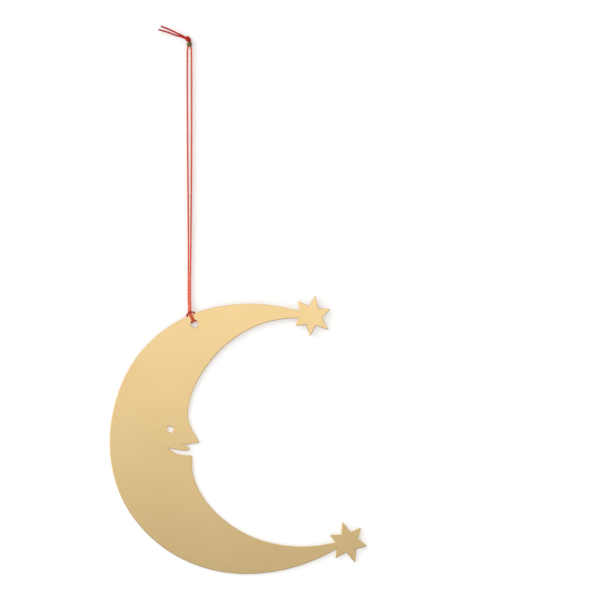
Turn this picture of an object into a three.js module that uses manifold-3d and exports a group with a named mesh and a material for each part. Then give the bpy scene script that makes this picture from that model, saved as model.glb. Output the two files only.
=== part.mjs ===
// A hanging ornament: a crescent moon with a face and two stars, cut from one gilded sheet,
// on a red cord that is hitched through the sheet, doubled, beaded and knotted.
// Millimetres, +Z up. The front of the sheet faces -Y. The origin is the crotch of the cord's loop,
// just under the bead, where a hook holds the ornament up.
import * as THREE from 'three';
import { mergeVertices } from 'three/addons/utils/BufferGeometryUtils.js';
import Module from 'manifold-3d';

const wasm = await Module();
wasm.setup();

// Sheet
const sheetThickness = 1.0;
const edgeBreak = 0.2; // the cut edges are tumbled smooth
const backRadius = 84.8; // from the moon's centre to its back
const bellyWidth = 47; // from the back to the bay, where the crescent is widest
const upperHornWidth = 4.4; // where a horn runs into its star
const lowerHornWidth = 3.5;
const upperHornAngle = 67.3; // where each horn ends, seen from the moon's centre, in degrees
const lowerHornAngle = 309.8;

// Holes in the sheet
const hangingHoleDiameter = 4.8;
const hangingHoleInset = 6.1; // from the hole's centre to the rim
const rimWander = 0.2; // of the back's edge above the hole
const hangingHoleAngle = 113.9;
const eyeDiameter = 4.2;

// Stars
const starReach = 13.1; // from a star's centre to the end of a point
const starNotchReach = 6.5; // from a star's centre to the corner between two points
const starSetOut = 8.1; // from the end of a horn to its star's centre
const starPointRound = 0.35;

// Face, measured from the deepest line of the bay and up from the moon's centre
const noseReach = 9.2;
const noseHeight = -2.1;
const noseRootReach = -1.0;
const lipReach = 3.5;
const mouthDepth = 10.7;
const mouthHeight = -5.2;
const chinReach = 4.4;
const chinHeight = -10;
const chinLength = 10;
const eyeDepth = 9.3;
const eyeHeight = 6.2;
const noseRound = 0.5;
const lipRound = 0.5;
const chinRound = 0.4;
const noseDrop = 1.3; // from the nose's height down to its root
const lipDrop = 0.6; // from the mouth's corner down to the upper lip's point
const underLipReach = 1.7;
const underLipDrop = 1.7;
const upperLipDepth = 1.2; // the mouth's two curves are drawn towards these
const upperLipDrop = 2.3;
const smileDepth = 5.8;
const smileDrop = 1.3;
const cheekDepth = 8.5;
const cheekDrop = 2.8;
const lowerLipDepth = 3.6;
const lowerLipDrop = 0.4;
const bridgeBack = 3.8; // and the bridge's curve towards these, from the nose and from the brow
const bridgeRise = 5.9;
const browBack = 2;
const browDrop = 8.8;

// Cord
const cordDiameter = 1.0;
const fit = 0.3; // clearance between things that touch
const hangingLength = 172.75; // from the crotch of the loop down to the middle of the hanging hole
const hangingHoleOffset = 3.2; // the hole lies this far right of the cord's line
const hitchLean = 0.25; // the strands lean this far right, on their way from there to the hole
const strandSpacing = 2.5; // between the two strands, where the loop hangs open
const drawnSpacing = 1.45; // between the two strands, where the hitch draws them together
const strandsAside = 0.2; // the two strands cross the sheet this far right of the hole's middle
const hitchHeight = 15; // from the middle of the hanging hole to where the strands enter the hitch

// Bead and knot
const beadDiameter = 3.2;
const beadHeight = 2.6;
const beadBore = 2.6;
const beadBottom = 0.7; // above the crotch of the loop
const knotHeight = 5.9; // from the crotch of the loop to the middle of the knot
const knotTurnRadius = 1.2;

// How each hand-cut edge wanders from its plain circle: [angle in degrees, millimetres outwards]
const backWander = [
  [upperHornAngle, 2.2], [78, 0.7], [94, -0.2], [hangingHoleAngle, rimWander], [140, 0.6], [168, -0.1],
  [190, 0.5], [206, 0.9], [232, 0.2], [256, -0.6], [277, -0.5], [294, 1.1], [lowerHornAngle, 4.2],
];
const lowerBayWander = [[285, -0.6], [264, -1.2], [242, -0.5], [220, 0.5], [209, 0.5], [204, 0.1]];
const upperBayWander = [[167, -0.3], [158, 0.1], [144, -0.1], [112, 0.5], [95, 0.1]];

// Each star's points, round from the horn: [angle in degrees, how far it falls short of the full reach]
const upperStar = {
  heading: -6,
  points: [[211, 1.0], [265, 0], [320, -0.6], [20, 0.3], [80, -0.1], [133, 0]],
};
const lowerStar = {
  heading: 16.5,
  points: [[231, 0], [288, -0.7], [348, 0.9], [49, 0.8], [107, -0.4], [159, 0.5]],
};

const gold = new THREE.MeshStandardMaterial({ color: 0xe2c288, roughness: 0.28, metalness: 1 });
const brass = new THREE.MeshStandardMaterial({ color: 0x8a7440, roughness: 0.35, metalness: 1 });
const redCord = new THREE.MeshStandardMaterial({ color: 0xd9402c, roughness: 0.75, metalness: 0 });

const curveSteps = 8;
const edgeStep = 3; // degrees along a hand-cut edge
const cornerSteps = 4;
const radians = THREE.MathUtils.degToRad;

function polar(radius, degrees, centre = new THREE.Vector2()) {
  const angle = radians(degrees);
  return new THREE.Vector2(Math.cos(angle), Math.sin(angle)).multiplyScalar(radius).add(centre);
}

function circleThrough(a, b, c) {
  const ab = b.clone().sub(a);
  const ac = c.clone().sub(a);
  const twiceArea = 2 * ab.cross(ac);
  const x = (ac.y * ab.lengthSq() - ab.y * ac.lengthSq()) / twiceArea;
  const y = (ab.x * ac.lengthSq() - ac.x * ab.lengthSq()) / twiceArea;
  return { centre: new THREE.Vector2(x, y).add(a), radius: Math.hypot(x, y) };
}

// The hand-cut edges

function cutEdge(stations, radius, centre) {
  const wander = new THREE.SplineCurve(stations.map(([angle, out]) => new THREE.Vector2(angle, out)));
  const sweep = Math.abs(stations[stations.length - 1][0] - stations[0][0]);
  const points = wander.getPoints(Math.round(sweep / edgeStep));
  return points.map(({ x: angle, y: out }) => polar(radius + out, angle, centre));
}

const backEdge = cutEdge(backWander, backRadius);
const upperHornOut = backEdge[0];
const lowerHornOut = backEdge[backEdge.length - 1];
const upperHornIn = polar(upperHornOut.length() - upperHornWidth, upperHornAngle - 0.9);
const lowerHornIn = polar(lowerHornOut.length() - lowerHornWidth, lowerHornAngle + 1.1);
const deepestBay = new THREE.Vector2(bellyWidth - backRadius, 0);
const bay = circleThrough(upperHornIn, deepestBay, lowerHornIn);
const bayEdge = (stations) => cutEdge(stations, bay.radius, bay.centre);
const onFace = (reach, height) => new THREE.Vector2(deepestBay.x + reach, height);

const lineThrough = (path, points) => points.forEach((point) => path.lineTo(point.x, point.y));

// Runs up to a corner and round it on an arc, ready to go on to the next point
function roundedCorner(path, corner, next, radius) {
  const back = path.currentPoint.clone().sub(corner).normalize();
  const ahead = next.clone().sub(corner).normalize();
  const half = Math.acos(back.dot(ahead)) / 2;
  const middle = back.clone().add(ahead).normalize();
  const centre = corner.clone().addScaledVector(middle, radius / Math.sin(half));
  const first = corner.clone().addScaledVector(back, radius / Math.tan(half)).sub(centre);
  const turn = Math.sign(ahead.cross(back)) * (Math.PI - 2 * half);
  for (let i = 0; i <= cornerSteps; i += 1) {
    const point = first.clone().rotateAround(new THREE.Vector2(), (turn * i) / cornerSteps).add(centre);
    path.lineTo(point.x, point.y);
  }
}

// A six-pointed star whose horn enters between its last point and its first
function addStar(path, star, hornFrom, hornTo) {
  const hornEnd = hornFrom.clone().add(hornTo).multiplyScalar(0.5);
  const centre = polar(starSetOut, star.heading, hornEnd);
  star.points.forEach(([angle, short], i) => {
    const tip = polar(starReach - short, angle, centre);
    const following = star.points[i + 1];
    if (!following) {
      roundedCorner(path, tip, hornTo, starPointRound);
      return;
    }
    const turn = THREE.MathUtils.euclideanModulo(following[0] - angle, 360);
    const notch = polar(starNotchReach, angle + turn / 2, centre);
    roundedCorner(path, tip, notch, starPointRound);
    path.lineTo(notch.x, notch.y);
  });
  path.lineTo(hornTo.x, hornTo.y);
}

// The profile, upwards: chin, smiling mouth, upper lip, nose and the long bridge to the brow
function addFace(path, browEnd) {
  const chin = onFace(chinReach, chinHeight);
  const mouthCorner = onFace(-mouthDepth, mouthHeight);
  const lip = onFace(lipReach, mouthHeight - lipDrop);
  const underLip = onFace(underLipReach, mouthHeight - underLipDrop);
  const noseRoot = onFace(noseRootReach, noseHeight - noseDrop);
  const nose = onFace(noseReach, noseHeight);
  const lowerLip = onFace(-lowerLipDepth, chinHeight - lowerLipDrop);
  const cheek = onFace(-cheekDepth, mouthHeight - cheekDrop);
  const upperLip = onFace(-upperLipDepth, mouthHeight - upperLipDrop);
  const smile = onFace(-smileDepth, mouthHeight - smileDrop);
  const bridge = nose.clone().add(new THREE.Vector2(-bridgeBack, bridgeRise));
  const brow = browEnd.clone().add(new THREE.Vector2(-browBack, -browDrop));
  path.lineTo(chin.x, chin.y - chinLength);
  roundedCorner(path, chin, lowerLip, chinRound);
  path.bezierCurveTo(lowerLip.x, lowerLip.y, cheek.x, cheek.y, mouthCorner.x, mouthCorner.y);
  path.bezierCurveTo(smile.x, smile.y, upperLip.x, upperLip.y, underLip.x, underLip.y);
  roundedCorner(path, lip, noseRoot, lipRound);
  path.lineTo(noseRoot.x, noseRoot.y);
  roundedCorner(path, nose, bridge, noseRound);
  path.bezierCurveTo(bridge.x, bridge.y, brow.x, brow.y, browEnd.x, browEnd.y);
}

const hangingHole = polar(backRadius + rimWander - hangingHoleInset, hangingHoleAngle);
const eye = onFace(-eyeDepth, eyeHeight);

function roundHole(centre, diameter) {
  const hole = new THREE.Path();
  hole.absarc(centre.x, centre.y, diameter / 2, 0, 2 * Math.PI, true);
  return hole;
}

function moonOutline() {
  const outline = new THREE.Shape();
  const upperBay = bayEdge(upperBayWander);
  outline.moveTo(upperHornOut.x, upperHornOut.y);
  lineThrough(outline, backEdge.slice(1));
  addStar(outline, lowerStar, lowerHornOut, lowerHornIn);
  lineThrough(outline, bayEdge(lowerBayWander));
  addFace(outline, upperBay[0]);
  lineThrough(outline, [...upperBay.slice(1), upperHornIn]);
  addStar(outline, upperStar, upperHornIn, upperHornOut);
  outline.holes.push(roundHole(hangingHole, hangingHoleDiameter), roundHole(eye, eyeDiameter));
  return outline;
}

function moonPlate() {
  const sheet = new THREE.ExtrudeGeometry(moonOutline(), {
    depth: sheetThickness - 2 * edgeBreak,
    bevelThickness: edgeBreak,
    bevelSize: edgeBreak,
    bevelOffset: -edgeBreak,
    bevelSegments: 1,
    curveSegments: curveSteps,
  });
  return sheet.translate(0, 0, edgeBreak - sheetThickness / 2);
}

// Where the sheet hangs: the middle of its hanging hole, and the rim's own directions there

const holePlace = new THREE.Vector3(hangingHoleOffset, 0, -hangingLength);
const alongRim = new THREE.Vector3(Math.sin(radians(hangingHoleAngle)), 0, -Math.cos(radians(hangingHoleAngle)));
const pastRim = new THREE.Vector3(Math.cos(radians(hangingHoleAngle)), 0, Math.sin(radians(hangingHoleAngle)));
const atHole = (along, front, past) => holePlace.clone()
  .addScaledVector(alongRim, along)
  .addScaledVector(pastRim, past)
  .add(new THREE.Vector3(0, -front, 0));

// Cord

const cordSides = 8;
const entryHeight = hitchHeight - hangingLength;

function cordSection(diameter = cordDiameter) {
  const corners = Array.from({ length: cordSides }, (_, i) => polar(diameter / 2, (360 * i) / cordSides));
  return new THREE.Shape(corners);
}

function cordRoute(points) {
  return new THREE.CatmullRomCurve3(points, false, 'centripetal');
}

function cordTube(points, steps, diameter) {
  return new THREE.ExtrudeGeometry(cordSection(diameter), { extrudePath: cordRoute(points), steps });
}

// One strand, from under the bead to the hitch: [out from the cord's line, height]
function strandPoints(side) {
  const open = strandSpacing / 2;
  const drawn = drawnSpacing / 2;
  const route = [
    [0.45 * open, beadBottom - fit],
    [0.7 * open, -0.8],
    [0.95 * open, -2.6],
    [open, -6],
    [open, -50],
    [open, -100],
    [1.15 * drawn, -120],
    [drawn, -139],
    [drawn, entryHeight + fit],
  ];
  return route.map(([out, height]) => new THREE.Vector3(side * out, 0, height));
}

// Half of the hitch, from its strand to the middle of the collar: down the front of the sheet behind
// the collar, back through the hole, up the back and forward over the rim.
// Each point: [out from the middle line, in front of the sheet's middle, past the hole's centre]
function hitchHalf(side) {
  const drawn = drawnSpacing / 2;
  const front = sheetThickness / 2 + fit + cordDiameter / 2;
  const clearOfHole = hangingHoleDiameter / 2 - fit - cordDiameter / 2;
  const through = Math.sqrt(clearOfHole ** 2 - (drawn + strandsAside) ** 2);
  const over = hangingHoleInset + fit + cordDiameter / 2 + 0.02;
  const collar = front + cordDiameter + 2 * fit;
  const route = [
    [drawn + 0.02, front + 0.15, over + 0.45],
    [drawn, front, 4.6],
    [drawn, front, 2.9],
    [drawn, front - 0.15, 1.75],
    [drawn, 0.6, through + 0.03],
    [drawn, 0, through],
    [drawn, -0.6, through + 0.03],
    [0.85, -front + 0.12, 1.8],
    [1.05, -front, 2.9],
    [1.55, -front, 4.3],
    [2.1, -front, hangingHoleInset - 0.25],
    [2.3, -front + 0.23, hangingHoleInset + 0.57],
    [2.4, -0.4, over],
    [2.4, 0.5, over],
    [2.35, front + 0.2, over - 0.4],
    [1.85, collar - 0.35, over - 0.05],
    [0.85, collar, over + 0.45],
  ];
  const points = route.map(([out, ahead, past]) => atHole(strandsAside + side * out, ahead, past));
  const entry = new THREE.Vector3(side * drawn, 0, entryHeight);
  const lean = new THREE.Vector3(side * (drawn + 0.06) + hitchLean, -0.75, entryHeight - 3.8);
  return { points: [entry, lean, ...points], top: atHole(strandsAside, collar, over + 0.65) };
}

function hitchPoints() {
  const left = hitchHalf(-1);
  const right = hitchHalf(1);
  return [...left.points, left.top, ...right.points.reverse()];
}

// The least gap that a cord keeps to itself, on points that lie well apart along it
function leastGap(points) {
  const route = cordRoute(points);
  const spacing = cordDiameter / 4;
  const samples = route.getSpacedPoints(Math.round(route.getLength() / spacing));
  const apart = Math.round((3 * cordDiameter) / spacing);
  let least = Infinity;
  samples.forEach((a, i) => {
    samples.slice(i + apart).forEach((b) => {
      least = Math.min(least, a.distanceTo(b));
    });
  });
  return least - cordDiameter;
}

// Bead and knot

function beadBody() {
  const bore = beadBore / 2;
  const belly = beadDiameter / 2;
  const lip = (bore + belly) / 2;
  const half = beadHeight / 2;
  const profile = [
    [bore, -half + 0.1],
    [lip, -half],
    [belly - 0.04, -half + 0.6],
    [belly, 0],
    [belly - 0.04, half - 0.6],
    [lip, half],
    [bore, half - 0.1],
    [bore, -half + 0.1],
  ];
  const points = profile.map(([radius, height]) => new THREE.Vector2(radius, height));
  return new THREE.LatheGeometry(points, 24).rotateX(Math.PI / 2);
}

function solidOf(geometry) {
  const bare = geometry.clone();
  bare.deleteAttribute('normal');
  bare.deleteAttribute('uv');
  const merged = mergeVertices(bare, 1e-4);
  return new wasm.Manifold(new wasm.Mesh({
    numProp: 3,
    vertProperties: new Float32Array(merged.attributes.position.array),
    triVerts: new Uint32Array(merged.index.array),
  }));
}

function geometryOf(solid) {
  const { vertProperties, triVerts } = solid.getMesh();
  const geometry = new THREE.BufferGeometry();
  geometry.setAttribute('position', new THREE.BufferAttribute(vertProperties, 3));
  geometry.setIndex(new THREE.BufferAttribute(triVerts, 1));
  geometry.computeVertexNormals();
  return geometry;
}

const knotMiddle = new THREE.Vector3(-0.9, 0, knotHeight);
const knotExit = new THREE.Vector3(-0.93, 0, 0.36).normalize();

// One turn of the knot round the pair of strands that leaves it
function knotTurn(along) {
  const ring = new THREE.TorusGeometry(knotTurnRadius, cordDiameter / 2, cordSides, 20);
  const facing = new THREE.Quaternion().setFromUnitVectors(new THREE.Vector3(0, 0, 1), knotExit);
  const place = knotMiddle.clone().addScaledVector(knotExit, along);
  return ring.applyQuaternion(facing).translate(place.x, place.y, place.z);
}

// One strand up through the bead, over the shoulder of the knot and out through its turns
function knotStrand(side) {
  const half = cordDiameter / 2;
  const above = new THREE.Vector3(0.36, 0, 0.93);
  const through = (along) => knotMiddle.clone()
    .addScaledVector(knotExit, along)
    .addScaledVector(above, side * 0.45)
    .add(new THREE.Vector3(0, side * -0.3, 0));
  const points = [
    new THREE.Vector3(side * half, 0, beadBottom),
    new THREE.Vector3(side * half, 0, beadBottom + beadHeight),
    new THREE.Vector3(side * half + 0.5, 0, knotHeight - 1.1),
    through(-1.2),
    through(0.2),
    through(2.1),
  ];
  return cordTube(points, 16);
}

function knot() {
  const pieces = [knotStrand(-1), knotStrand(1), knotTurn(-0.15), knotTurn(0.95)];
  const solid = pieces.map(solidOf).reduce((joined, piece) => joined.add(piece));
  return geometryOf(solid);
}

// The cut tails, side by side out of the knot and then apart: [across, front, up]
const upperTail = [[-3.5, 0.5, 6.9], [-5.2, 0.5, 7.8], [-6.9, 0.35, 8.6], [-11.9, 0, 11.0], [-17.7, 0, 13.3]];
const lowerTail = [[-3.3, -0.6, 6.1], [-5.3, -0.6, 6.9], [-9.0, -0.35, 7.9], [-13.3, 0, 9.5], [-19.3, 0, 11.2]];
const tailPoints = (route) => route.map(([across, front, up]) => new THREE.Vector3(across, -front, up));

// Assembly

function piece(name, geometry, material) {
  const mesh = new THREE.Mesh(geometry, material);
  mesh.name = name;
  return mesh;
}

const ornament = new THREE.Group();

const plate = piece('moon_plate', moonPlate(), gold.clone());
plate.rotation.x = Math.PI / 2;
plate.position.set(holePlace.x - hangingHole.x, 0, holePlace.z - hangingHole.y);
ornament.add(plate);

const bead = piece('bead', beadBody(), brass.clone());
bead.position.z = beadBottom + beadHeight / 2;
ornament.add(bead);

ornament.add(
  piece('cord_hitch', cordTube(hitchPoints(), 72), redCord.clone()),
  piece('cord_strand_left', cordTube(strandPoints(-1), 40), redCord.clone()),
  piece('cord_strand_right', cordTube(strandPoints(1), 40), redCord.clone()),
  piece('cord_knot', knot(), redCord.clone()),
  piece('cord_tail_upper', cordTube(tailPoints(upperTail), 8), redCord.clone()),
  piece('cord_tail_lower', cordTube(tailPoints(lowerTail), 8), redCord.clone()),
);

console.log(`least gap of the hitch to itself: ${leastGap(hitchPoints()).toFixed(2)} mm`);

export default ornament;
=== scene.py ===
"""Visual model of a hanging ornament: a crescent moon cut from one gilded sheet, on a red cord.

Every length is in metres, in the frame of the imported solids: +Z up along the cord, -Y out of
the sheet's front, and the origin in the crotch of the cord's loop, just under the bead.
"""
import logging
import math
from dataclasses import dataclass
from enum import Enum

import bmesh
import bpy
from bpy.types import Material, Mesh, Node, NodeSocket, NodeTree, Object
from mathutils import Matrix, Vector
from mathutils.geometry import delaunay_2d_cdt


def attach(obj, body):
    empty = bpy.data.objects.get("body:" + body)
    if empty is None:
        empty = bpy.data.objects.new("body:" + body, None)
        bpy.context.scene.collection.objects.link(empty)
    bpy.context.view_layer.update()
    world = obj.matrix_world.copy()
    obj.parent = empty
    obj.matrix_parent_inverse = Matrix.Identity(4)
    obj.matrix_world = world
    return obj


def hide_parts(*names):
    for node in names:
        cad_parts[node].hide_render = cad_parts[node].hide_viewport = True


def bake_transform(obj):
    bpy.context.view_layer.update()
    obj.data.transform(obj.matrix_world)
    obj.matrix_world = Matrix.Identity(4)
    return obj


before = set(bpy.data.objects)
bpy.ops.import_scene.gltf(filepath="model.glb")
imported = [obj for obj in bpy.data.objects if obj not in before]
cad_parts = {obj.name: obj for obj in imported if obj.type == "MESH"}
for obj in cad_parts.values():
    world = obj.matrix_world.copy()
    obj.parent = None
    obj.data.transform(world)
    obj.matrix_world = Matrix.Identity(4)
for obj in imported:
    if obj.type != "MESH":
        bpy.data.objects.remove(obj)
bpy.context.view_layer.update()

log = logging.getLogger("moon_ornament")

MM = 0.001
LEAST_SPAN = 1e-6  # keeps two route points at one place from making a span of nothing

# The photograph: a square frame, read in its own pixels
PHOTO_PIXELS = 600
PIXEL = 0.625 * MM  # one pixel of it at the sheet
CORD_PIXEL = (189.3, 47.5)  # where the origin lies in it

# The cord's own sizes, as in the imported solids
CORD_DIAMETER = 1.0 * MM  # of its middle: the plies stand a little proud of it
STRANDS_END = -157.75 * MM  # where the two strands enter the hitch
BEAD_BOTTOM = 0.7 * MM
BEAD_TOP = 3.3 * MM
BEAD_MIDDLE = (BEAD_BOTTOM + BEAD_TOP) / 2

# Where the sheet hangs: the middle of its hanging hole, and the rim's own directions there
HOLE_PLACE = Vector((3.2, 0, -172.75)) * MM
HOLE_ANGLE = math.radians(113.9)
ALONG_RIM = Vector((math.sin(HOLE_ANGLE), 0, -math.cos(HOLE_ANGLE)))
PAST_RIM = Vector((math.cos(HOLE_ANGLE), 0, math.sin(HOLE_ANGLE)))


class Side(Enum):
    """One of the two strands, seen from the sheet's front."""

    LEFT = -1
    RIGHT = 1


class Lay(Enum):
    """Which way a cord's plies turn."""

    RIGHT_HAND = 1
    LEFT_HAND = -1


class Shading(Enum):
    """How a face of the sheet is shaded."""

    FLAT = False
    ROUNDED = True


def linear(colour: str) -> tuple[float, float, float, float]:
    """Turns an sRGB hex colour into the linear values that a shader takes.

    Args:
        colour: Six hex digits, such as "f5d8a0".

    Returns:
        Red, green, blue and an alpha of 1.
    """
    shares = [int(colour[i:i + 2], 16) / 255 for i in (0, 2, 4)]
    curve = [c / 12.92 if c <= 0.04045 else ((c + 0.055) / 1.055) ** 2.4 for c in shares]
    return (*curve, 1.0)


def add_node(tree: NodeTree, kind: str, inputs: dict | None = None, **settings: object) -> Node:
    """Adds a node with its settings, and its input values and links.

    Args:
        tree: The node tree that gets it.
        kind: The node's type name.
        inputs: By the input's name or number: a value, a socket to link, or a node, which
            is linked by its first output.
        settings: Properties of the node itself.

    Returns:
        The new node.
    """
    node = tree.nodes.new(kind)
    for name, value in settings.items():
        setattr(node, name, value)
    for name, value in (inputs or {}).items():
        if isinstance(value, Node):
            value = value.outputs[0]
        if isinstance(value, NodeSocket):
            tree.links.new(value, node.inputs[name])
        else:
            node.inputs[name].default_value = value
    return node


def new_material(name: str) -> Material:
    """Makes a material with an empty node tree.

    Args:
        name: The material's name.

    Returns:
        The material.
    """
    material = bpy.data.materials.new(name)
    material.use_nodes = True
    material.node_tree.nodes.clear()
    return material


def new_piece(name: str, mesh: Mesh) -> Object:
    """Puts a mesh in the scene as an object at the origin.

    Args:
        name: The object's name.
        mesh: Its mesh, in the frame's coordinates.

    Returns:
        The object.
    """
    piece = bpy.data.objects.new(name, mesh)
    bpy.context.scene.collection.objects.link(piece)
    return piece


def smooth_route(points: list[Vector], spacing: float) -> list[Vector]:
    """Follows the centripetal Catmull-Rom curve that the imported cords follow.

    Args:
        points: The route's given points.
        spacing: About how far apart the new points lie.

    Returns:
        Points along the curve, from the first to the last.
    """
    ends = [2 * points[0] - points[1], *points, 2 * points[-1] - points[-2]]
    route = []
    for before, start, end, after in zip(ends, ends[1:], ends[2:], ends[3:]):
        pairs = ((before, start), (start, end), (end, after))
        spans = [max((b - a).length, LEAST_SPAN) ** 0.5 for a, b in pairs]
        t0, t1 = -spans[0], 0.0
        t2, t3 = spans[1], spans[1] + spans[2]
        steps = max(2, math.ceil((end - start).length / spacing))
        for i in range(steps):
            t = t2 * i / steps
            first = before.lerp(start, (t - t0) / (t1 - t0))
            second = start.lerp(end, t / t2)
            third = end.lerp(after, (t - t2) / (t3 - t2))
            near = first.lerp(second, (t - t0) / (t2 - t0))
            far = second.lerp(third, t / t3)
            route.append(near.lerp(far, t / t2))
    route.append(points[-1].copy())
    return route


def in_mm(*places: tuple[float, float, float]) -> list[Vector]:
    """Points whose places are given in millimetres."""
    return [Vector(place) * MM for place in places]


def with_neighbours(loop: list[Vector]) -> list[tuple[Vector, Vector, Vector]]:
    """Each point of a closed loop, between the point before it and the point after it."""
    return list(zip(loop[-1:] + loop[:-1], loop, loop[1:] + loop[:1]))


@dataclass(frozen=True)
class TwistedCordFinish:
    """Twisted rayon cord: bright, slightly silky yarn, whose fibres run along the cord in each ply."""

    lit: str = "e26b47"
    deep: str = "a93923"
    tight: str = "b42114"  # painted shade: a darker red where the cord is drawn hard into itself, for the shade in the knot and the hitch
    sealed: str = "743020"  # the melted skin of a cut end
    silk: str = "ffb890"
    fibre_width: float = 0.06 * MM
    fibre_relief: float = 0.03 * MM
    fibre_stretch: float = 0.12  # how much slower the pattern changes along the cord than across it
    nap: float = 0.3  # the sheen of loose cord, which a hard draw flattens
    plain_down_to: float = -95 * MM  # down to here the cord keeps its plain colour; below, it is made brighter
    brightest_from: float = -150 * MM
    brightest_gain: float = 1.25  # how much brighter the cord is made low down, towards the hitch

    def material(self) -> Material:
        """Makes the cord's material.

        Returns:
            The material, which reads the cord's own attributes and the height.
        """
        material = new_material("twisted_rayon_cord")
        tree = material.node_tree
        around, along, drawn, cut = [
            add_node(tree, "ShaderNodeAttribute", attribute_name=name)
            for name in ("around", "along", "drawn", "cut")
        ]
        # Fibres are long and thin, so their pattern is stretched along the cord
        stretched = add_node(
            tree, "ShaderNodeMath", {0: along.outputs["Fac"], 1: self.fibre_stretch}, operation="MULTIPLY"
        )
        lift = add_node(tree, "ShaderNodeCombineXYZ", {"Z": stretched})
        spread = add_node(
            tree, "ShaderNodeVectorMath", {0: around.outputs["Vector"], 1: lift}, operation="ADD"
        )
        fibres = add_node(
            tree, "ShaderNodeTexNoise",
            {"Vector": spread, "Scale": 1 / (2 * self.fibre_width), "Detail": 2.0},
        )
        shade = add_node(
            tree, "ShaderNodeMapRange",
            {"Value": fibres.outputs["Fac"], "From Min": 0.35, "From Max": 0.62},
        )
        colour = add_node(
            tree, "ShaderNodeMix",
            {"Factor": shade, 6: linear(self.deep), 7: linear(self.lit)},
            data_type="RGBA",
        )
        # The cord is made a little brighter towards the hitch than higher up
        place = add_node(tree, "ShaderNodeTexCoord")
        split = add_node(tree, "ShaderNodeSeparateXYZ", {0: place.outputs["Object"]})
        brightening = add_node(
            tree, "ShaderNodeMapRange",
            {
                "Value": split.outputs["Z"], "From Min": self.plain_down_to, "From Max": self.brightest_from,
                "To Min": 1.0, "To Max": self.brightest_gain,
            },
        )
        colour = add_node(
            tree, "ShaderNodeMix",
            {"Factor": 1.0, 6: colour.outputs[2], 7: brightening},
            data_type="RGBA", blend_type="MULTIPLY",
        )
        # Painted shade: where the cord is drawn hard into itself it is mixed to a darker red; a cut end
        # is mixed to its sealed colour
        for share, shade_and_seal in ((drawn, self.tight), (cut, self.sealed)):
            colour = add_node(
                tree, "ShaderNodeMix",
                {"Factor": share.outputs["Fac"], 6: colour.outputs[2], 7: linear(shade_and_seal)},
                data_type="RGBA",
            )
        nap = add_node(
            tree, "ShaderNodeMapRange", {"Value": drawn.outputs["Fac"], "To Min": self.nap, "To Max": 0.0}
        )
        bump = add_node(
            tree, "ShaderNodeBump",
            {"Height": fibres.outputs["Fac"], "Strength": 0.5, "Distance": self.fibre_relief},
        )
        surface = add_node(
            tree, "ShaderNodeBsdfPrincipled",
            {
                "Base Color": colour.outputs[2], "Roughness": 0.6, "Normal": bump,
                "Specular IOR Level": 0.25,
                "Sheen Weight": nap, "Sheen Roughness": 0.4, "Sheen Tint": linear(self.silk),
            },
        )
        add_node(tree, "ShaderNodeOutputMaterial", {"Surface": surface})
        return material


@dataclass(frozen=True)
class GiltSheetFinish:
    """Gilded brass sheet: tumbled to a satin, so that it mirrors only broad light and dark."""

    gilt: str = "fbdba0"
    worn: str = "f8d79b"
    roughness: float = 0.22
    smoother_by: float = 0.03  # how far the grain takes the roughness down
    rougher_by: float = 0.04  # and up
    grain: float = 0.35 * MM
    grain_relief: float = 0.01 * MM
    cloud: float = 30 * MM

    def material(self) -> Material:
        """Makes the sheet's material.

        Returns:
            The material, in object coordinates.
        """
        material = new_material("satin_gilded_brass")
        tree = material.node_tree
        place = add_node(tree, "ShaderNodeTexCoord").outputs["Object"]
        clouds, grain = [
            add_node(tree, "ShaderNodeTexNoise", {"Vector": place, "Scale": 1 / size, "Detail": 2.0})
            for size in (self.cloud, self.grain)
        ]
        tone = add_node(
            tree, "ShaderNodeMapRange",
            {"Value": clouds.outputs["Fac"], "From Min": 0.3, "From Max": 0.7},
        )
        colour = add_node(
            tree, "ShaderNodeMix",
            {"Factor": tone, 6: linear(self.gilt), 7: linear(self.worn)},
            data_type="RGBA",
        )
        dull = add_node(
            tree, "ShaderNodeMapRange",
            {
                "Value": grain.outputs["Fac"], "From Min": 0.3, "From Max": 0.7,
                "To Min": self.roughness - self.smoother_by, "To Max": self.roughness + self.rougher_by,
            },
        )
        bump = add_node(
            tree, "ShaderNodeBump",
            {"Height": grain.outputs["Fac"], "Strength": 0.12, "Distance": self.grain_relief},
        )
        surface = add_node(
            tree, "ShaderNodeBsdfPrincipled",
            {"Base Color": colour.outputs[2], "Metallic": 1.0, "Roughness": dull, "Normal": bump},
        )
        add_node(tree, "ShaderNodeOutputMaterial", {"Surface": surface})
        return material


@dataclass(frozen=True)
class AgedBrassFinish:
    """Small turned brass bead: half gloss, with a green-brown patina that handling has thinned."""

    bright: str = "a08e52"
    patina: str = "564c22"
    patch: float = 0.9 * MM
    rubbed: float = 0.3  # the roughness where handling has cleaned the brass
    dull: float = 0.5  # and where the patina is whole

    def material(self) -> Material:
        """Makes the bead's material.

        Returns:
            The material, in object coordinates.
        """
        material = new_material("aged_turned_brass")
        tree = material.node_tree
        place = add_node(tree, "ShaderNodeTexCoord").outputs["Object"]
        patches = add_node(
            tree, "ShaderNodeTexNoise", {"Vector": place, "Scale": 1 / self.patch, "Detail": 4.0}
        )
        cover = add_node(
            tree, "ShaderNodeMapRange",
            {"Value": patches.outputs["Fac"], "From Min": 0.35, "From Max": 0.65},
        )
        colour = add_node(
            tree, "ShaderNodeMix",
            {"Factor": cover, 6: linear(self.patina), 7: linear(self.bright)},
            data_type="RGBA",
        )
        gloss = add_node(
            tree, "ShaderNodeMapRange",
            {
                "Value": patches.outputs["Fac"], "From Min": 0.3, "From Max": 0.7,
                "To Min": self.dull, "To Max": self.rubbed,
            },
        )
        surface = add_node(
            tree, "ShaderNodeBsdfPrincipled",
            {"Base Color": colour.outputs[2], "Metallic": 1.0, "Roughness": gloss},
        )
        add_node(tree, "ShaderNodeOutputMaterial", {"Surface": surface})
        return material


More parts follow.
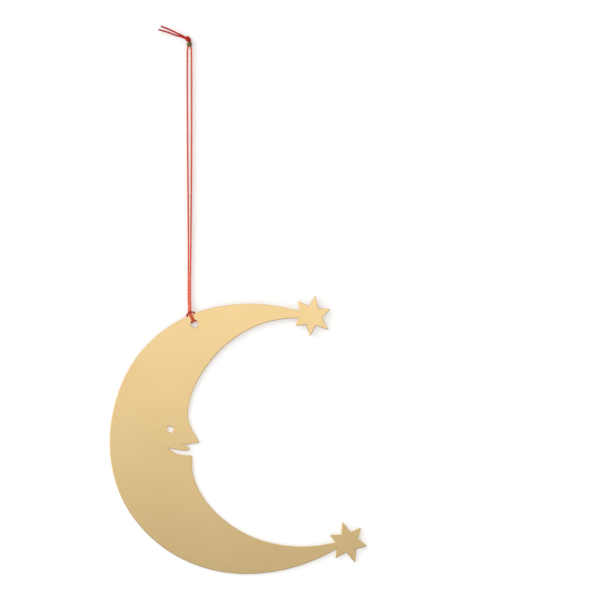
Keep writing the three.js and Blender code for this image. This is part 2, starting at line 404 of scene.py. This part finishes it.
@dataclass(frozen=True)
class Tension:
    """How hard a stretch is drawn: it grows tight between two distances from its nearer end."""

    loose_to: float = 1000.0  # past any real cord, so a plain stretch stays loose
    tight_from: float = 1001.0
    cut_reach: float = 0.0  # how much of the far end is sealed, where it is cut


@dataclass
class TwistedCord:
    """How every stretch of the cord is made: its plies laid up into one round cord."""

    finish: Material
    over_plies: float = 1.16 * CORD_DIAMETER
    lay_length: float = 4.4 * MM
    plies: int = 3
    groove: float = 0.45  # how far in the grooves between the plies lie, as a share of the radius
    ring_spacing: float = 0.2 * MM
    ring_points: int = 30
    lay: Lay = Lay.RIGHT_HAND

    def inputs(self, tension: Tension) -> dict[str, object]:
        """Works out the tree's inputs for one stretch of the cord.

        Args:
            tension: How hard the stretch is drawn.

        Returns:
            The value of each input but the route, by its name.
        """
        return {
            "Radius": self.over_plies / 2,
            "Lay Length": self.lay_length * self.lay.value,
            "Groove Floor": 1 - self.groove,
            "Ring Spacing": self.ring_spacing,
            "Loose To": tension.loose_to,
            "Tight From": tension.tight_from,
            "Cut Reach": tension.cut_reach,
            "Ring Points": self.ring_points,
            "Finish": self.finish,
        }

    def middle_line(self, tree: NodeTree, given: Node) -> Node:
        """Follows the route with evenly spaced rings, each turned by the lay.

        Args:
            tree: The tree that lays up the cord.
            given: The node that holds the tree's inputs.

        Returns:
            The line's last node. The line carries what the finish reads along the cord.
        """
        line = add_node(tree, "GeometryNodeMeshToCurve", {"Mesh": given.outputs["Route"]})
        rings = add_node(
            tree, "GeometryNodeResampleCurve",
            {"Curve": line, "Length": given.outputs["Ring Spacing"]}, mode="LENGTH",
        )
        along = add_node(tree, "GeometryNodeSplineParameter").outputs["Length"]
        lays = add_node(
            tree, "ShaderNodeMath", {0: along, 1: given.outputs["Lay Length"]}, operation="DIVIDE"
        )
        turn = add_node(tree, "ShaderNodeMath", {0: lays, 1: math.tau}, operation="MULTIPLY")
        laid = add_node(tree, "GeometryNodeSetCurveTilt", {"Curve": rings, "Tilt": turn})
        whole = add_node(tree, "GeometryNodeSplineLength").outputs["Length"]
        left = add_node(tree, "ShaderNodeMath", {0: whole, 1: along}, operation="SUBTRACT")
        nearer = add_node(tree, "ShaderNodeMath", {0: along, 1: left}, operation="MINIMUM")
        tight = add_node(
            tree, "ShaderNodeMapRange",
            {
                "Value": nearer, "From Min": given.outputs["Loose To"],
                "From Max": given.outputs["Tight From"],
            },
        )
        sealed = add_node(
            tree, "ShaderNodeMath", {0: left, 1: given.outputs["Cut Reach"]}, operation="LESS_THAN"
        )
        marked = laid
        for name, value in (("along", along), ("drawn", tight), ("cut", sealed)):
            marked = add_node(
                tree, "GeometryNodeStoreNamedAttribute",
                {"Geometry": marked, "Name": name, "Value": value},
                data_type="FLOAT", domain="POINT",
            )
        return marked

    def section(self, tree: NodeTree, given: Node) -> Node:
        """Draws the cord's section: a circle drawn in to a groove wherever two plies meet.

        Args:
            tree: The tree that lays up the cord.
            given: The node that holds the tree's inputs.

        Returns:
            The section's last node. The section carries each point's own place in it.
        """
        circle = add_node(
            tree, "GeometryNodeCurvePrimitiveCircle",
            {"Resolution": given.outputs["Ring Points"], "Radius": 1.0},
        )
        share = add_node(tree, "GeometryNodeSplineParameter")
        # One ply is half a turn of this angle, because the swell is taken without its sign
        angle = add_node(
            tree, "ShaderNodeMath", {0: share.outputs["Factor"], 1: self.plies / 2 * math.tau},
            operation="MULTIPLY",
        )
        swell = add_node(tree, "ShaderNodeMath", {0: angle}, operation="COSINE")
        lobe = add_node(tree, "ShaderNodeMath", {0: swell}, operation="ABSOLUTE")
        depth = add_node(
            tree, "ShaderNodeMapRange",
            {"Value": lobe, "To Min": given.outputs["Groove Floor"], "To Max": 1.0},
        )
        reach = add_node(
            tree, "ShaderNodeMath", {0: depth, 1: given.outputs["Radius"]}, operation="MULTIPLY"
        )
        spot = add_node(tree, "GeometryNodeInputPosition")
        pressed = add_node(tree, "ShaderNodeVectorMath", {0: spot, "Scale": reach}, operation="SCALE")
        plies = add_node(tree, "GeometryNodeSetPosition", {"Geometry": circle, "Position": pressed})
        return add_node(
            tree, "GeometryNodeStoreNamedAttribute",
            {"Geometry": plies, "Name": "around", "Value": pressed},
            data_type="FLOAT_VECTOR", domain="POINT",
        )

    def tree(self) -> tuple[NodeTree, dict[str, str]]:
        """Builds the node tree that lays the plies along a route.

        Returns:
            The tree, and the identifier of each of its inputs by name.
        """
        tree = bpy.data.node_groups.new("laid_up_cord", "GeometryNodeTree")
        kinds = {"Route": "NodeSocketGeometry"}
        kinds.update(dict.fromkeys(self.inputs(Tension()), "NodeSocketFloat"))
        kinds.update({"Ring Points": "NodeSocketInt", "Finish": "NodeSocketMaterial"})
        identifiers = {}
        for name, kind in kinds.items():
            socket = tree.interface.new_socket(name, in_out="INPUT", socket_type=kind)
            identifiers[name] = socket.identifier
        tree.interface.new_socket("Cord", in_out="OUTPUT", socket_type="NodeSocketGeometry")
        given = add_node(tree, "NodeGroupInput")
        line, section = self.middle_line(tree, given), self.section(tree, given)
        swept = add_node(
            tree, "GeometryNodeCurveToMesh", {"Curve": line, "Profile Curve": section, "Fill Caps": True}
        )
        smooth = add_node(tree, "GeometryNodeSetShadeSmooth", {"Geometry": swept})
        real = add_node(tree, "GeometryNodeRealizeInstances", {"Geometry": smooth})
        dressed = add_node(
            tree, "GeometryNodeSetMaterial", {"Geometry": real, "Material": given.outputs["Finish"]}
        )
        add_node(tree, "NodeGroupOutput", {"Cord": dressed})
        return tree, identifiers

    def lay_up(self, name: str, route: list[Vector], tension: Tension = Tension()) -> Object:
        """Makes one stretch of the cord as a plain mesh.

        Args:
            name: The piece's name.
            route: The close points that its middle follows.
            tension: How hard it is drawn.

        Returns:
            The piece, with its modifier gone.
        """
        line = bpy.data.meshes.new(name + "_route")
        line.from_pydata(route, [(i, i + 1) for i in range(len(route) - 1)], [])
        carrier = new_piece(name + "_carrier", line)
        modifier = carrier.modifiers.new("laid_up_cord", "NODES")
        tree, identifiers = self.tree()
        modifier.node_group = tree
        for asked, value in self.inputs(tension).items():
            modifier[identifiers[asked]] = value
        depsgraph = bpy.context.evaluated_depsgraph_get()
        mesh = bpy.data.meshes.new_from_object(
            carrier.evaluated_get(depsgraph), preserve_all_data_layers=True, depsgraph=depsgraph
        )
        mesh.name = name
        bpy.data.objects.remove(carrier)
        bpy.data.meshes.remove(line)
        bpy.data.node_groups.remove(tree)
        return new_piece(name, mesh)


@dataclass
class LoopStrands:
    """The two strands between the bead and the hitch, apart above and drawn together below."""

    cord: TwistedCord
    drawn: float = 0.59 * MM  # each strand's distance from the pair's middle, low down
    drawn_from: float = -148 * MM  # from here down to the hitch they stay so
    aside: float = 0.07 * MM  # how far right of the origin the pair's middle lies there
    spacing: float = 0.4 * MM

    def route(self, side: Side) -> list[Vector]:
        """One strand's route, down from the middle of the bead.

        Args:
            side: Which strand.

        Returns:
            Close points along it.
        """
        # Each strand's distance from the pair's middle, that middle's place along X, and the height
        stations = [
            (0.5, 0, 2), (0.64, 0, 0.9), (1, 0.02, -0.3), (1.22, 0.05, -1.5), (1.3, 0.08, -5),
            (1.34, 0.1, -28), (1.22, 0.19, -63), (0.9, 0.25, -103), (0.76, 0.24, -118),
            (0.64, 0.16, -136),
        ]
        points = in_mm(*((middle + side.value * out, 0, height) for out, middle, height in stations))
        for height in (self.drawn_from, STRANDS_END):
            points.append(Vector((self.aside + side.value * self.drawn, 0, height)))
        return smooth_route(points, self.spacing)

    def build(self) -> dict[Side, Object]:
        """Makes both strands, each bending and twisting between the knot and the hitch.

        Returns:
            The strand of each side.
        """
        strands = {}
        for side in Side:
            strand = self.cord.lay_up(f"loop_strand_{side.name.lower()}", self.route(side))
            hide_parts(f"cord_strand_{side.name.lower()}")
            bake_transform(strand)
            strands[side] = strand
        return strands


@dataclass
class GirthHitch:
    """The cord's fold: down the sheet's front, back through the hole, over the rim and across itself."""

    cord: TwistedCord
    strands: LoopStrands
    aside: float = 0.2 * MM  # how far right of the hole's middle the pair passes the rim
    lean: float = 0.3 * MM  # on their way there both strands lean this far right,
    lean_front: float = 0.7 * MM  # this far out to the front
    lean_drop: float = 3.8 * MM  # and this far down
    bend_reach: float = 6.5 * MM  # the reach of the hitch next to where the moon swings
    spacing: float = 0.2 * MM
    tension: Tension = Tension(loose_to=10 * MM, tight_from=16 * MM)

    def at_hole(self, along: float, front: float, past: float) -> Vector:
        """A point placed from the hanging hole.

        Args:
            along: Along the rim, in metres, to the right.
            front: In front of the sheet's middle.
            past: Outwards from the hole's middle, past the rim.

        Returns:
            The point in the frame.
        """
        return HOLE_PLACE + ALONG_RIM * along + PAST_RIM * past + Vector((0, -front, 0))

    def half(self, side: Side) -> list[Vector]:
        """One strand's way down the front, back through the hole and up the back to the rim.

        Args:
            side: Which strand it goes on from.

        Returns:
            The route's given points.
        """
        stations = [
            (0.56, 1.3, 7.37), (0.56, 1.12, 4.6), (0.57, 1.1, 2.9), (0.6, 1.0, 2.05),
            (0.65, 0.55, 1.6), (0.72, 0, 1.45), (0.88, -0.6, 1.42), (1.3, -1.08, 1.5),
            (1.85, -1.15, 1.95), (2.12, -1.15, 3.0), (2.22, -1.15, 4.4), (2.28, -1.12, 5.7),
            (2.3, -0.9, 6.45),
        ]
        drawn = side.value * self.strands.drawn
        entry = Vector((self.strands.aside + drawn, 0, STRANDS_END))
        leaning = Vector((self.lean + drawn, -self.lean_front, STRANDS_END - self.lean_drop))
        rest = [
            self.at_hole(self.aside + side.value * out * MM, front * MM, past * MM)
            for out, front, past in stations
        ]
        return [entry, leaning, *rest]

    def collar(self) -> list[Vector]:
        """The collar: forward over the rim on the left, across both strands and back.

        Returns:
            The route's given points.
        """
        stations = [
            (-2.2, -0.25, 6.68), (-2.2, 0.45, 6.68), (-2.12, 1.1, 6.45), (-1.75, 1.75, 6.95),
            (-1.01, 2.2, 7.5), (0.3, 2.4, 7.72), (1.45, 2.25, 7.55), (2.25, 1.8, 6.98),
            (2.6, 1.15, 6.3), (2.62, 0.45, 6.6), (2.58, -0.25, 6.66),
        ]
        return [self.at_hole(along * MM, front * MM, past * MM) for along, front, past in stations]

    def route(self) -> list[Vector]:
        """The whole hitch, from the left strand round to the right one."""
        points = [*self.half(Side.LEFT), *self.collar(), *reversed(self.half(Side.RIGHT))]
        return smooth_route(points, self.spacing)

    def build(self) -> Object:
        """Makes the hitch along its route.

        Returns:
            The hitch.
        """
        hitch = self.cord.lay_up("girth_hitch", self.route(), self.tension)
        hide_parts("cord_hitch")
        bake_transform(hitch)
        return hitch


@dataclass
class TopKnot:
    """The knot over the bead: one strand's end turned round the other, and both cut tails."""

    cord: TwistedCord
    middle: Vector = Vector((-0.85, 0, 5.45)) * MM
    axis: Vector = Vector((-0.93, 0, 0.36)).normalized()
    above: Vector = Vector((0.36, 0, 0.93)).normalized()
    turn_radius: float = 1.25 * MM
    turn_pitch: float = 0.9 * MM
    turns: float = 2.0
    turn_steps: int = 10
    turns_start: float = 0.95 * MM  # how far towards the tails the turns start
    core_reach: float = 0.43 * MM
    spacing: float = 0.2 * MM
    tension: Tension = Tension(loose_to=-2 * MM, tight_from=-1 * MM, cut_reach=0.6 * MM)

    def at(self, along: float, up: float, front: float) -> Vector:
        """A point placed from the knot's middle.

        Args:
            along: Along the knot, towards the tails.
            up: Across the knot, in the sheet's plane.
            front: Out towards the front.

        Returns:
            The point in the frame.
        """
        return self.middle + self.axis * along + self.above * up + Vector((0, -front, 0))

    def wrapping_end(self) -> list[Vector]:
        """The right strand's end: through the knot, twice round it, through again, and its tail.

        Returns:
            Close points along it.
        """
        core = self.core_reach
        steps = self.turn_steps
        turns = [
            self.at(
                self.turns_start - self.turn_pitch * i / steps,
                self.turn_radius * math.cos(math.tau * i / steps),
                -self.turn_radius * math.sin(math.tau * i / steps),
            )
            for i in range(1, int(self.turns * steps) - 1)
        ]
        points = [
            *in_mm((0.5, 0, 2), (0.5, 0, 3.3), (0.62, 0.1, 4.3)),
            self.at(-0.9 * MM, core, -0.6 * core),
            self.at(0.5 * MM, core, -0.6 * core),
            self.at(1.15 * MM, 1.7 * core, -0.6 * core),
            *turns,
            self.at(-1.15 * MM, 0.9 * core, 1.5 * core),
            self.at(-0.6 * MM, 0, core),
            self.at(0.9 * MM, 0, core),
            *in_mm((-3.5, -0.5, 6.9), (-5.2, -0.5, 7.8), (-6.9, -0.35, 8.6)),
            *in_mm((-11.9, 0, 11.0), (-17.7, 0, 13.3)),
        ]
        return smooth_route(points, self.spacing)

    def core_end(self) -> list[Vector]:
        """The left strand's end: straight through the knot, and its tail.

        Returns:
            Close points along it.
        """
        core = self.core_reach
        points = [
            *in_mm((-0.5, 0, 2), (-0.5, 0, 3.3), (-0.3, 0, 4.1)),
            self.at(-0.7 * MM, -core, -0.6 * core),
            self.at(0.9 * MM, -core, -0.6 * core),
            *in_mm((-3.3, 0.6, 6.1), (-5.3, 0.6, 6.9), (-9.0, 0.35, 7.9)),
            *in_mm((-13.3, 0, 9.5), (-19.3, 0, 11.2)),
        ]
        return smooth_route(points, self.spacing)

    def build(self) -> list[Object]:
        """Makes both ends of the cord, with the knot that they form.

        Returns:
            The two ends.
        """
        ends = [
            self.cord.lay_up("knot_wrapping_end", self.wrapping_end(), self.tension),
            self.cord.lay_up("knot_core_end", self.core_end(), self.tension),
        ]
        for end, nodes in zip(ends, (("cord_knot", "cord_tail_upper"), ("cord_tail_lower",))):
            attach(end, "top_knot")
            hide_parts(*nodes)
        return ends


@dataclass
class Bead:
    """The small brass bead on both strands: a turned barrel with rounded lips."""

    finish: Material
    bore: float = 1.25 * MM
    belly: float = 1.6 * MM
    fullness: float = 2.2  # the barrel curve's exponent, which keeps its middle full
    shoulder: float = 0.02 * MM  # how far inside its two ends that curve stops
    lip_round: float = 0.06 * MM
    lip_steps: int = 4
    belly_steps: int = 10
    sides: int = 64

    def profile(self) -> list[tuple[float, float]]:
        """The closed section, going up outside and down the bore.

        Returns:
            The radius and the height of each of its points.
        """
        points = []
        lip = self.bore + self.lip_round
        for i in range(self.belly_steps + 1):
            share = 2 * i / self.belly_steps - 1
            swell = 1 - abs(share) ** self.fullness
            height = BEAD_MIDDLE + share * (BEAD_TOP - BEAD_MIDDLE - self.shoulder)
            points.append((lip + (self.belly - lip) * swell, height))
        for end, centre in ((1, BEAD_TOP - self.lip_round), (-1, BEAD_BOTTOM + self.lip_round)):
            corner = []
            for i in range(self.lip_steps + 1):
                angle = math.pi / 2 * i / self.lip_steps
                radius = self.bore + self.lip_round * (1 - math.sin(angle))
                corner.append((radius, centre + end * self.lip_round * math.cos(angle)))
            points += corner if end > 0 else corner[::-1]
        return points

    def build(self) -> Object:
        """Turns the bead.

        Returns:
            The bead.
        """
        section = self.profile()
        count = len(section)
        vertices = []
        faces = []
        for side in range(self.sides):
            angle = math.tau * side / self.sides
            vertices += [(r * math.cos(angle), r * math.sin(angle), z) for r, z in section]
            here, there = side * count, ((side + 1) % self.sides) * count
            faces += [
                (here + i, there + i, there + (i + 1) % count, here + (i + 1) % count)
                for i in range(count)
            ]
        mesh = bpy.data.meshes.new("turned_bead")
        mesh.from_pydata(vertices, [], faces)
        mesh.materials.append(self.finish)
        mesh.shade_smooth()
        bead = new_piece("turned_bead", mesh)
        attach(bead, "bead")
        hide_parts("bead")
        return bead


@dataclass
class MoonSheet:
    """The gilded sheet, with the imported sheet's outline and holes and a finely rounded edge."""

    finish: Material
    thickness: float = 1.0 * MM
    packed_wall: float = 0.3 * MM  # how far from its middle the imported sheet's straight wall ends
    wall_within: float = 0.01 * MM  # how near that height a point counts as on the wall's end
    merge_within: float = 0.001 * MM
    edge_round: float = 0.32 * MM
    round_steps: int = 4
    softenings: int = 2
    soft_share: float = 0.25  # how much of the shorter side one softening takes
    corner: float = math.radians(45)  # a sharper turn of the outline stays a corner
    least_turn: float = 0.3  # bounds the border's reach into a sharp tip
    same_point: float = 1e-6  # how near, in millimetres, two points count as one in the flat's filling

    def loops(self) -> list[list[Vector]]:
        """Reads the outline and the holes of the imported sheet, where its back wall begins.

        Returns:
            Closed loops of points in the sheet's plane, with the material on their left.
        """
        source = bmesh.new()
        source.from_mesh(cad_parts["moon_plate"].data)
        bmesh.ops.remove_doubles(source, verts=source.verts, dist=self.merge_within)
        ring = {v: [] for v in source.verts if abs(v.co.y - self.packed_wall) < self.wall_within}
        for edge in source.edges:
            a, b = edge.verts
            if a in ring and b in ring:
                ring[a].append(b)
                ring[b].append(a)
        loops = []
        left = dict(ring)
        while left:
            start = next(iter(left))
            loop, here = [], start
            while here in left:
                neighbours = left.pop(here)
                loop.append(Vector((here.co.x, here.co.z)))
                here = next((n for n in neighbours if n in left), start)
            loops.append(loop)
        source.free()
        # The outline comes first and runs one way round, and the holes run the other way
        loops.sort(key=lambda loop: -abs(self.area(loop)))
        return [
            loop if (self.area(loop) > 0) == (number == 0) else loop[::-1]
            for number, loop in enumerate(loops)
        ]

    @staticmethod
    def area(loop: list[Vector]) -> float:
        """The signed area inside a loop."""
        return sum(a.cross(b) for a, b in zip(loop, loop[1:] + loop[:1])) / 2

    def soften(self, loop: list[Vector]) -> list[Vector]:
        """Cuts the slight corners of a loop's facets, and leaves the real corners.

        Args:
            loop: The loop's points.

        Returns:
            The loop with each slight corner as two slighter ones.
        """
        softened = []
        for before, here, after in with_neighbours(loop):
            into, out = here - before, after - here
            if into.angle(out) > self.corner:
                softened.append(here)
                continue
            cut = self.soft_share * min(into.length, out.length)
            softened += [here - into.normalized() * cut, here + out.normalized() * cut]
        return softened

    def outward(self, loop: list[Vector]) -> list[Vector]:
        """Works out each point's step out of the material, long enough to keep an even border.

        Args:
            loop: The loop's points.

        Returns:
            The step at each point, for a border of one.
        """
        steps = []
        for before, here, after in with_neighbours(loop):
            into, out = (here - before).normalized(), (after - here).normalized()
            middle = (into + out).normalized()
            across = Vector((middle.y, -middle.x))
            steps.append(across / max(middle.dot(into), self.least_turn))
        return steps

    def section(self) -> list[tuple[float, float]]:
        """The rounded edge's section, from the front to the back.

        Returns:
            How far in each of its points lies, and its place through the sheet.
        """
        wall = self.thickness / 2 - self.edge_round
        front = []
        for i in range(self.round_steps + 1):
            angle = math.pi / 2 * i / self.round_steps
            inset = self.edge_round * (1 - math.sin(angle))
            front.append((inset, -wall - self.edge_round * math.cos(angle)))
        return front + [(inset, -depth) for inset, depth in reversed(front)]

    def face(self, rings: list[list[Vector]]) -> list[tuple[int, int, int]]:
        """Fills the flat of the sheet between its outline and its holes.

        Args:
            rings: The flat's border loops, in the sheet's plane.

        Returns:
            Triangles of point numbers, in the order of the rings' points.
        """
        points = [point for ring in rings for point in ring]
        edges = []
        first = 0
        for ring in rings:
            edges += [(first + i, first + (i + 1) % len(ring)) for i in range(len(ring))]
            first += len(ring)
        outline = len(rings[0])
        owner = [number for number, ring in enumerate(rings) for _ in ring]
        inside = 1
        result = delaunay_2d_cdt([p / MM for p in points], edges, [], inside, self.same_point)
        origin = [sources[0] for sources in result[3]]
        triangles = [tuple(origin[v] for v in triangle) for triangle in result[2]]
        # The holes are round, so a triangle with all its corners on one hole fills that hole
        return [t for t in triangles if min(t) < outline or len({owner[v] for v in t}) > 1]

    def build(self) -> Object:
        """Cuts the sheet, rounds its edges and dresses it.

        Returns:
            The sheet.
        """
        loops = self.loops()
        for _ in range(self.softenings):
            loops = [self.soften(loop) for loop in loops]
        section = self.section()
        vertices, walls, borders = [], [], []
        for loop in loops:
            steps = self.outward(loop)
            first, count = len(vertices), len(loop)
            for inset, depth in section:
                vertices += [(p.x - s.x * inset, depth, p.y - s.y * inset) for p, s in zip(loop, steps)]
            borders.append([first + i for i in range(count)])
            for ring in range(len(section) - 1):
                here, there = first + ring * count, first + (ring + 1) * count
                walls += [
                    (here + i, here + (i + 1) % count, there + (i + 1) % count, there + i)
                    for i in range(count)
                ]
        rings = [[Vector((vertices[v][0], vertices[v][2])) for v in border] for border in borders]
        numbers = [v for border in borders for v in border]
        sizes = [len(loop) for loop in loops for _ in loop]
        to_back = len(section) - 1
        flats = []
        for triangle in self.face(rings):
            a, b, c = (Vector((vertices[numbers[v]][0], vertices[numbers[v]][2])) for v in triangle)
            corners = triangle if (b - a).cross(c - a) > 0 else triangle[::-1]
            flats.append(tuple(numbers[v] for v in corners))
            flats.append(tuple(numbers[v] + to_back * sizes[v] for v in reversed(corners)))
        mesh = bpy.data.meshes.new("gilded_moon")
        mesh.from_pydata(vertices, [], walls + flats)
        mesh.polygons.foreach_set(
            "use_smooth", [Shading.ROUNDED.value] * len(walls) + [Shading.FLAT.value] * len(flats)
        )
        mesh.materials.append(self.finish)
        moon = new_piece("gilded_moon", mesh)
        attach(moon, "moon")
        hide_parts("moon_plate")
        return moon


@dataclass
class Backdrop:
    """The plain white wall close behind the ornament, whose moon leans a little towards it."""

    reach: float = 0.9
    spacing: float = 10 * MM
    middle: float = -0.16
    foot_gap: float = 0.8 * MM  # how far behind the sheet's middle the wall is at the moon's foot
    foot_across: float = 0.032
    foot_height: float = -0.328
    slope_across: float = 0.0095  # how fast the gap grows to the right, up to the moon's side
    slope_up: float = 0.0091
    moon_side: float = 0.12
    least_gap: float = 0.62 * MM
    most_gap: float = 2.9 * MM
    moon_top: float = -0.165
    ease: float = 0.03  # the height over which the gap turns into the cord's
    behind_cord: float = 2.1 * MM
    glow: float = 0.2

    def depth(self, across: float, height: float) -> float:
        """How far behind the sheet the wall lies: the hitch's back holds the moon's top off it.

        Args:
            across: Where on the wall, along X.
            height: Where on the wall, along Z.

        Returns:
            The wall's place along Y.
        """
        to_right = self.slope_across * (min(across, self.moon_side) - self.foot_across)
        behind_moon = self.foot_gap + to_right + self.slope_up * (height - self.foot_height)
        behind_moon = min(max(behind_moon, self.least_gap), self.most_gap)
        share = min(max((height - self.moon_top) / self.ease, 0), 1)
        return behind_moon + (self.behind_cord - behind_moon) * share * share * (3 - 2 * share)

    def paint(self) -> Material:
        """Makes white matt paint, clear from behind so that the ornament's back can be seen.

        Returns:
            The material.
        """
        material = new_material("white_wall_paint")
        tree = material.node_tree
        paint = add_node(tree, "ShaderNodeBsdfDiffuse", {"Color": linear("fdfdfd")})
        # A bright room thins the shadows on a white wall, so the camera alone sees some of it lit
        glow = add_node(tree, "ShaderNodeEmission", {"Color": linear("ffffff"), "Strength": 1.0})
        ray = add_node(tree, "ShaderNodeLightPath")
        share = add_node(
            tree, "ShaderNodeMath", {0: ray.outputs["Is Camera Ray"], 1: self.glow}, operation="MULTIPLY"
        )
        white = add_node(tree, "ShaderNodeMixShader", {0: share, 1: paint, 2: glow})
        clear = add_node(tree, "ShaderNodeBsdfTransparent")
        side = add_node(tree, "ShaderNodeNewGeometry")
        one_sided = add_node(
            tree, "ShaderNodeMixShader", {0: side.outputs["Backfacing"], 1: white, 2: clear}
        )
        material.cycles.emission_sampling = "NONE"
        add_node(tree, "ShaderNodeOutputMaterial", {"Surface": one_sided})
        return material

    def build(self) -> None:
        """Hangs the wall, which isn't mirrored in the sheet and doesn't shade the ornament's back."""
        count = round(2 * self.reach / self.spacing)
        steps = [-self.reach + 2 * self.reach * i / count for i in range(count + 1)]
        vertices = [
            (across, self.depth(across, up + self.middle), up + self.middle)
            for up in steps for across in steps
        ]
        row = count + 1
        faces = [
            (row * j + i, row * j + i + 1, row * (j + 1) + i + 1, row * (j + 1) + i)
            for j in range(count) for i in range(count)
        ]
        mesh = bpy.data.meshes.new("white_wall")
        mesh.from_pydata(vertices, [], faces)
        mesh.shade_smooth()
        mesh.materials.append(self.paint())
        wall = new_piece("white_wall", mesh)
        wall.visible_glossy = False
        wall.visible_transmission = False
        wall.visible_shadow = False


@dataclass
class Studio:
    """The plain studio round the ornament: its backdrop, floor, light and camera."""

    backdrop: Backdrop
    distance: float = 1.6
    sensor: float = 36.0  # the camera's sensor width, in millimetres
    floor_height: float = -0.6
    floor_size: float = 60.0
    sky_level: float = 1.24
    key_place: Vector = Vector((-1.3, -1.1, 0.8))
    key_target: Vector = Vector((0.04, 0, -0.2))
    key_size: float = 1.4
    key_power: float = 12.5

    def camera(self) -> None:
        """Sets up the camera, square on to the sheet as in the photograph."""
        middle = PHOTO_PIXELS / 2
        across = (middle - CORD_PIXEL[0]) * PIXEL
        up = (CORD_PIXEL[1] - middle) * PIXEL
        data = bpy.data.cameras.new("camera")
        data.sensor_width = self.sensor
        data.lens = data.sensor_width * self.distance / (PHOTO_PIXELS * PIXEL)
        camera = bpy.data.objects.new("camera", data)
        camera.location = (across, -self.distance, up)
        camera.rotation_euler = (math.pi / 2, 0, 0)
        bpy.context.scene.collection.objects.link(camera)
        bpy.context.scene.camera = camera

    def floor(self) -> None:
        """Lays the plain pale floor, far below the ornament."""
        half = self.floor_size / 2
        mesh = bpy.data.meshes.new("pale_floor")
        corners = [(-half, -half), (half, -half), (half, half), (-half, half)]
        mesh.from_pydata([(x, y, self.floor_height) for x, y in corners], [], [(0, 1, 2, 3)])
        material = new_material("pale_floor_paint")
        tree = material.node_tree
        paint = add_node(tree, "ShaderNodeBsdfDiffuse", {"Color": linear("f2f2f0")})
        add_node(tree, "ShaderNodeOutputMaterial", {"Surface": paint})
        mesh.materials.append(material)
        floor = new_piece("pale_floor", mesh)
        floor.visible_glossy = False

    def sky(self) -> None:
        """Surrounds the scene with soft light, dimmer on the right and low down in front."""
        world = bpy.data.worlds.new("soft_studio")
        world.use_nodes = True
        tree = world.node_tree
        tree.nodes.clear()
        direction = add_node(tree, "ShaderNodeTexCoord").outputs["Generated"]
        split = add_node(tree, "ShaderNodeSeparateXYZ", {0: direction})
        # Each change of light: the axis, where it starts and ends along it, and the levels there
        changes = {
            "rise": ("Z", -0.17, 0.04, 0.245, self.sky_level),
            "deep": ("Z", -0.8, -0.35, 1.6, 1.0),
            "high": ("Z", 0.3, 0.7, 1.0, 0.7),
            "right": ("X", 0.15, 0.7, 1.0, 0.5),
            "behind": ("Y", -0.2, 0.2, 0.0, 1.0),
            "beside_left": ("X", -0.4, -0.18, 1.0, 0.0),
            "beside_right": ("X", 0.18, 0.4, 0.0, 1.0),
            "under": ("Z", -0.6, -0.3, 0.25, self.sky_level),
        }
        light = {}
        for name, (axis, start, end, before, after) in changes.items():
            light[name] = add_node(
                tree, "ShaderNodeMapRange",
                {
                    "Value": split.outputs[axis], "From Min": start, "From Max": end,
                    "To Min": before, "To Max": after,
                },
                interpolation_type="SMOOTHSTEP",
            )
        # Low light right in front has its own level, and beside or behind that it is the room's
        room = add_node(
            tree, "ShaderNodeMath", {0: light["rise"], 1: light["deep"]}, operation="MULTIPLY"
        )
        beside = add_node(
            tree, "ShaderNodeMath", {0: light["beside_left"], 1: light["beside_right"]}, operation="ADD"
        )
        away = add_node(tree, "ShaderNodeMath", {0: beside, 1: light["behind"]}, operation="MAXIMUM")
        level = add_node(
            tree, "ShaderNodeMix", {"Factor": away, 2: room, 3: light["under"]}, data_type="FLOAT"
        )
        for name in ("high", "right"):
            level = add_node(tree, "ShaderNodeMath", {0: level, 1: light[name]}, operation="MULTIPLY")
        glow = add_node(tree, "ShaderNodeBackground", {"Color": linear("ffffff"), "Strength": level})
        add_node(tree, "ShaderNodeOutputWorld", {"Surface": glow})
        bpy.context.scene.world = world

    def key(self) -> None:
        """Hangs the soft key light, up and left in front, which throws the shadows down and right."""
        data = bpy.data.lights.new("key", "AREA")
        data.shape = "DISK"
        data.size = self.key_size
        data.energy = self.key_power
        lamp = bpy.data.objects.new("key", data)
        lamp.location = self.key_place
        lamp.visible_glossy = False  # so that it makes no bright spots along the sheet's rounded edge
        lamp.rotation_euler = (self.key_target - self.key_place).to_track_quat("-Z", "Y").to_euler()
        bpy.context.scene.collection.objects.link(lamp)

    def build(self) -> None:
        """Builds the studio, apart from its camera."""
        self.backdrop.build()
        self.floor()
        self.sky()
        self.key()


def declare_cords(
    strands: dict[Side, Object],
    shapes: tuple[LoopStrands, GirthHitch],
) -> None:
    """Works out each strand's route and the hitch's route, and keeps none of them.

    Args:
        strands: The two strands.
        shapes: What the strands and the hitch were built by.
    """
    loop, fold = shapes
    for side, strand in strands.items():
        route = loop.route(side)[::-1]
    route = fold.route()


def main() -> None:
    """Builds the ornament and its studio, in order, and reports each piece."""
    logging.basicConfig(level=logging.INFO, format="%(message)s")
    bpy.context.scene.view_settings.view_transform = "Standard"
    studio = Studio(Backdrop())
    studio.camera()

    cord = TwistedCord(TwistedCordFinish().material())
    loop = LoopStrands(cord)
    fold = GirthHitch(cord, loop)
    strands = loop.build()
    hitch = fold.build()
    ends = TopKnot(cord).build()
    bead = Bead(AgedBrassFinish().material()).build()
    declare_cords(strands, (loop, fold))
    moon = MoonSheet(GiltSheetFinish().material()).build()
    studio.build()

    for piece in (*strands.values(), hitch, *ends, bead, moon):
        log.info("%s: %d faces", piece.name, len(piece.data.polygons))


if __name__ == "__main__":
    main()
